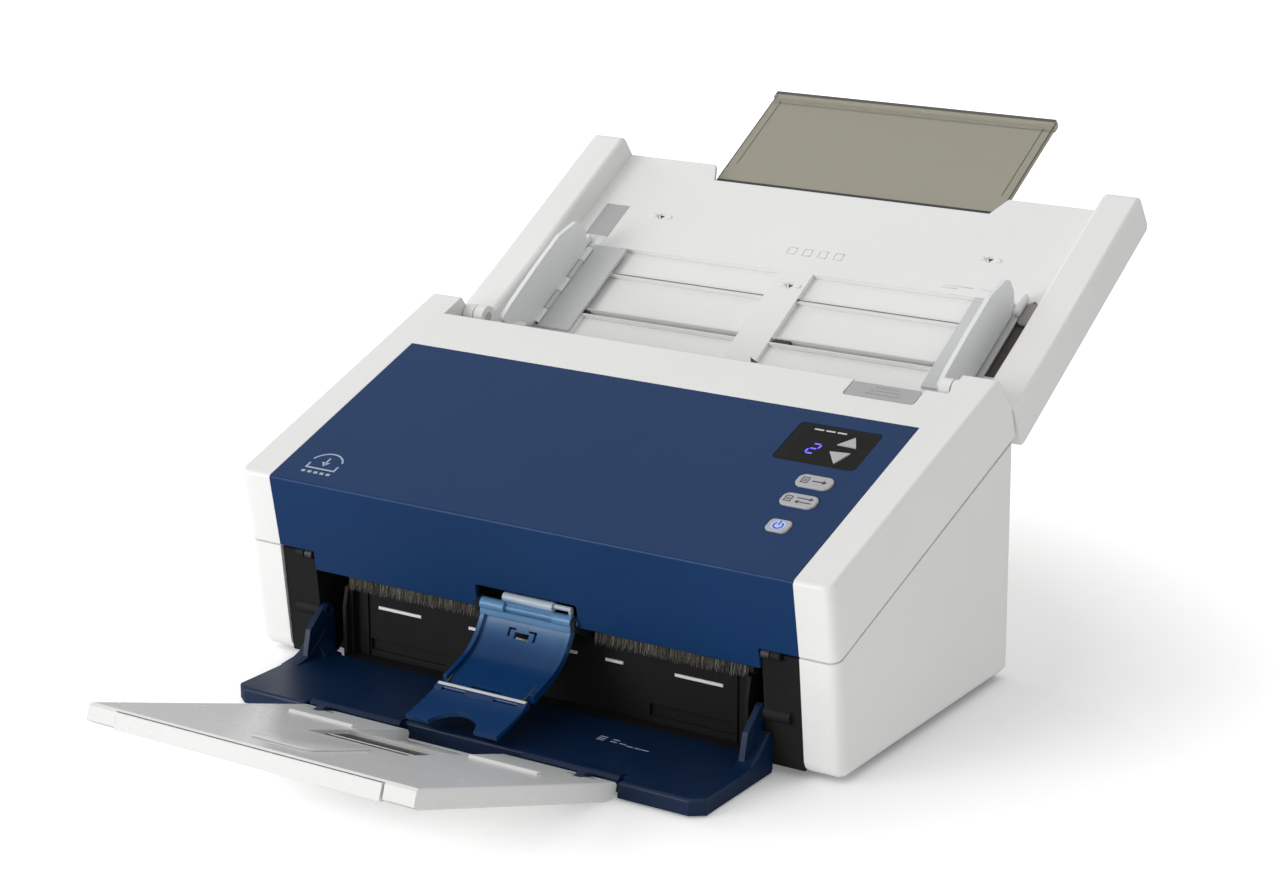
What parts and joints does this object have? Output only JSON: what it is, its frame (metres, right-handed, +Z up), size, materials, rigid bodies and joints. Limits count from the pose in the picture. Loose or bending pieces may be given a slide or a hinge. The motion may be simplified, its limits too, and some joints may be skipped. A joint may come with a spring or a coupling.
{
  "type": "sheet fed document scanner",
  "caption": "Desktop sheet fed document scanner with a sloped control cover, folding input tray and guides, drop-down output flap and exit chute.",
  "frame": {"origin": "middle of the whole open footprint at table height, on the machine's centre plane", "axes": "+X to the operator's right, +Y to the rear, +Z up; the machine stands open with both trays out"},
  "size_m": [0.318, 0.5562, 0.2268],
  "materials": {
    "white_shell": "fine satin texture",
    "blue_skin": "satin gloss",
    "dark_plastic": "matte",
    "black_textured": "matte, fine spark texture",
    "brown_liner": "matte",
    "brush_fibre": "fibre brush",
    "rubber": "matte",
    "steel": "brushed",
    "gear_plastic": "natural acetal",
    "brass": "machined",
    "scan_glass": "clear",
    "circuit_board": "solder mask",
    "display_black": "gloss window",
    "display_glow": "lit segment",
    "key_grey": "satin",
    "latch_grey": "satin",
    "guide_grey": "satin",
    "smoke_clear": "translucent smoke"
  },
  "bodies": {
    "base": {"lower_housing": "white_shell", "bottom_plate": "dark_plastic", "rubber_feet": "rubber", "base_screws": "steel", "front_brackets": "black_textured", "exit_wall": "black_textured", "wall_strips": "white_shell", "exit_brush": "brush_fibre", "lower_paper_guide": "dark_plastic", "lower_scan_glass": "scan_glass", "lower_image_sensor": "dark_plastic", "main_board": "circuit_board", "rear_ports": "dark_plastic", "drive_motor": "steel", "gear_plate": "steel", "tray_brackets": "white_shell"},
    "motor_pinion": {"motor_pinion": "brass"},
    "feed_roller": {"feed_roller_shaft": "steel", "feed_roller_tyres": "rubber", "feed_gear": "gear_plastic"},
    "idler": {"idler_gear": "gear_plastic"},
    "exit_roller": {"exit_roller_shaft": "steel", "exit_roller_tyres": "rubber", "exit_gear": "gear_plastic"},
    "cover": {"upper_cover": "white_shell", "front_panel": "blue_skin", "display_window": "display_black", "display_digit": "display_glow", "control_board": "circuit_board", "cover_inner_frame": "dark_plastic", "upper_scan_glass": "scan_glass", "upper_image_sensor": "dark_plastic"},
    "separation_roller": {"separation_roller": "rubber"},
    "pinch_rollers": {"exit_pinch_rollers": "dark_plastic"},
    "up_key": {"up_key": "key_grey"},
    "down_key": {"down_key": "key_grey"},
    "simplex_key": {"simplex_key": "key_grey"},
    "duplex_key": {"duplex_key": "key_grey"},
    "power_key": {"power_key": "key_grey"},
    "latch": {"release_latch": "latch_grey"},
    "tray": {"input_tray": "white_shell", "tray_slat_plate": "white_shell", "guide_slot_liners": "brown_liner", "tray_insert_strip": "latch_grey", "tray_back_cover": "white_shell", "tray_hinge_pins": "steel"},
    "tray_extension": {"tray_extension": "smoke_clear"},
    "right_guide": {"right_guide_base": "guide_grey"},
    "right_fin": {"right_guide_fin": "guide_grey"},
    "left_guide": {"left_guide_base": "guide_grey"},
    "left_fin": {"left_guide_fin": "guide_grey"},
    "guide_pinion": {"guide_pinion": "gear_plastic"},
    "flap": {"output_flap": "blue_skin", "flap_hinge_pins": "steel", "panel_hinge_pins": "steel"},
    "panel": {"output_panel": "white_shell"},
    "panel_slide": {"panel_slide": "white_shell"},
    "stopper": {"paper_stopper": "guide_grey"},
    "chute": {"exit_chute": "blue_skin"},
    "chute_tip": {"exit_chute_tip": "blue_skin"}
  },
  "joints": [
    {"name": "input_tray_hinge", "type": "hinge", "parent": "base", "child": "tray", "pos_m": [0, 0.06685, 0.1382], "axis": [1, 0, 0], "range_deg": [0, 169.5]},
    {"name": "tray_extension_slide", "type": "slide", "parent": "tray", "child": "tray_extension", "axis": [0, -0.866, -0.5], "range_m": [0, 0.072]},
    {"name": "right_guide_slide", "type": "slide", "parent": "tray", "child": "right_guide", "axis": [1, 0, 0], "range_m": [-0.088, 0]},
    {"name": "left_guide_slide", "type": "slide", "parent": "tray", "child": "left_guide", "axis": [-1, 0, 0], "range_m": [-0.088, 0]},
    {"name": "guide_pinion_spin", "type": "hinge", "parent": "tray", "child": "guide_pinion", "pos_m": [0, 0.11656, 0.12865], "axis": [0, -0.5, 0.866], "range_deg": [0, 841]},
    {"name": "right_fin_fold", "type": "hinge", "parent": "right_guide", "child": "right_fin", "pos_m": [0.1203, 0.17665, 0.17558], "axis": [0, -0.866, -0.5], "range_deg": [0, 90]},
    {"name": "left_fin_fold", "type": "hinge", "parent": "left_guide", "child": "left_fin", "pos_m": [-0.1203, 0.17665, 0.17558], "axis": [0, 0.866, 0.5], "range_deg": [0, 90]},
    {"name": "cover_hinge", "type": "hinge", "parent": "base", "child": "cover", "pos_m": [0, -0.08345, 0.0562], "axis": [-1, 0, 0], "range_deg": [-75, 0]},
    {"name": "output_flap_hinge", "type": "hinge", "parent": "base", "child": "flap", "pos_m": [0, -0.07915, 0.028], "axis": [-1, 0, 0], "range_deg": [0, 90]},
    {"name": "exit_chute_hinge", "type": "hinge", "parent": "base", "child": "chute", "pos_m": [0, -0.08315, 0.051], "axis": [-1, 0, 0], "range_deg": [0, 116]},
    {"name": "chute_tip_hinge", "type": "hinge", "parent": "chute", "child": "chute_tip", "pos_m": [0, -0.11835, 0.0226], "axis": [-1, 0, 0], "range_deg": [0, 60.5]},
    {"name": "output_panel_hinge", "type": "hinge", "parent": "flap", "child": "panel", "pos_m": [0, -0.14515, 0.0092], "axis": [-1, 0, 0], "range_deg": [0, 51.5]},
    {"name": "panel_slide_out", "type": "slide", "parent": "panel", "child": "panel_slide", "axis": [0, 0.9472, -0.3206], "range_m": [-0.055, 0]},
    {"name": "paper_stopper_hinge", "type": "hinge", "parent": "panel", "child": "stopper", "pos_m": [0, -0.18294, 0.02011], "axis": [1, 0, 0], "range_deg": [-80, 0]},
    {"name": "feed_roller_spin", "type": "hinge", "parent": "base", "child": "feed_roller", "pos_m": [0, 0.03344, 0.08957], "axis": [1, 0, 0], "continuous": true},
    {"name": "exit_roller_spin", "type": "hinge", "parent": "base", "child": "exit_roller", "pos_m": [0, -0.0557, 0.05966], "axis": [1, 0, 0], "continuous": true},
    {"name": "idler_spin", "type": "hinge", "parent": "base", "child": "idler", "pos_m": [-0.147, -0.01232, 0.06706], "axis": [1, 0, 0], "continuous": true},
    {"name": "motor_spin", "type": "hinge", "parent": "base", "child": "motor_pinion", "pos_m": [-0.147, 0.02858, 0.062], "axis": [1, 0, 0], "continuous": true},
    {"name": "separation_roller_spin", "type": "hinge", "parent": "cover", "child": "separation_roller", "pos_m": [0, 0.02752, 0.10604], "axis": [1, 0, 0], "continuous": true},
    {"name": "pinch_roller_spin", "type": "hinge", "parent": "cover", "child": "pinch_rollers", "pos_m": [0, -0.05989, 0.07133], "axis": [1, 0, 0], "continuous": true},
    {"name": "up_key_press", "type": "slide", "parent": "cover", "child": "up_key", "axis": [0, -0.3348, 0.9423], "range_m": [-0.0006, 0], "stiffness_N_per_m": 400},
    {"name": "down_key_press", "type": "slide", "parent": "cover", "child": "down_key", "axis": [0, -0.3348, 0.9423], "range_m": [-0.0006, 0], "stiffness_N_per_m": 400},
    {"name": "simplex_key_press", "type": "slide", "parent": "cover", "child": "simplex_key", "axis": [0, -0.3348, 0.9423], "range_m": [-0.0006, 0], "stiffness_N_per_m": 400},
    {"name": "duplex_key_press", "type": "slide", "parent": "cover", "child": "duplex_key", "axis": [0, -0.3348, 0.9423], "range_m": [-0.0006, 0], "stiffness_N_per_m": 400},
    {"name": "power_key_press", "type": "slide", "parent": "cover", "child": "power_key", "axis": [0, -0.3348, 0.9423], "range_m": [-0.0006, 0], "stiffness_N_per_m": 400},
    {"name": "release_latch_slide", "type": "slide", "parent": "cover", "child": "latch", "axis": [0, -0.9423, -0.3348], "range_m": [-0.0012, 0]}
  ],
  "couplings": [
    {"joint": "left_guide_slide", "follows": "right_guide_slide", "ratio": 1},
    {"joint": "guide_pinion_spin", "follows": "right_guide_slide", "rad_per_m": -166.67},
    {"joint": "right_fin_fold", "follows": "input_tray_hinge", "ratio": 0.5309},
    {"joint": "left_fin_fold", "follows": "input_tray_hinge", "ratio": 0.5309},
    {"joint": "exit_chute_hinge", "follows": "output_flap_hinge", "ratio": 1.2867},
    {"joint": "chute_tip_hinge", "follows": "output_flap_hinge", "ratio": 0.6667},
    {"joint": "motor_spin", "follows": "feed_roller_spin", "ratio": -3},
    {"joint": "idler_spin", "follows": "feed_roller_spin", "ratio": -0.7},
    {"joint": "exit_roller_spin", "follows": "feed_roller_spin", "ratio": 1.5},
    {"joint": "separation_roller_spin", "follows": "feed_roller_spin", "ratio": -1.125},
    {"joint": "pinch_roller_spin", "follows": "feed_roller_spin", "ratio": -2.1}
  ]
}
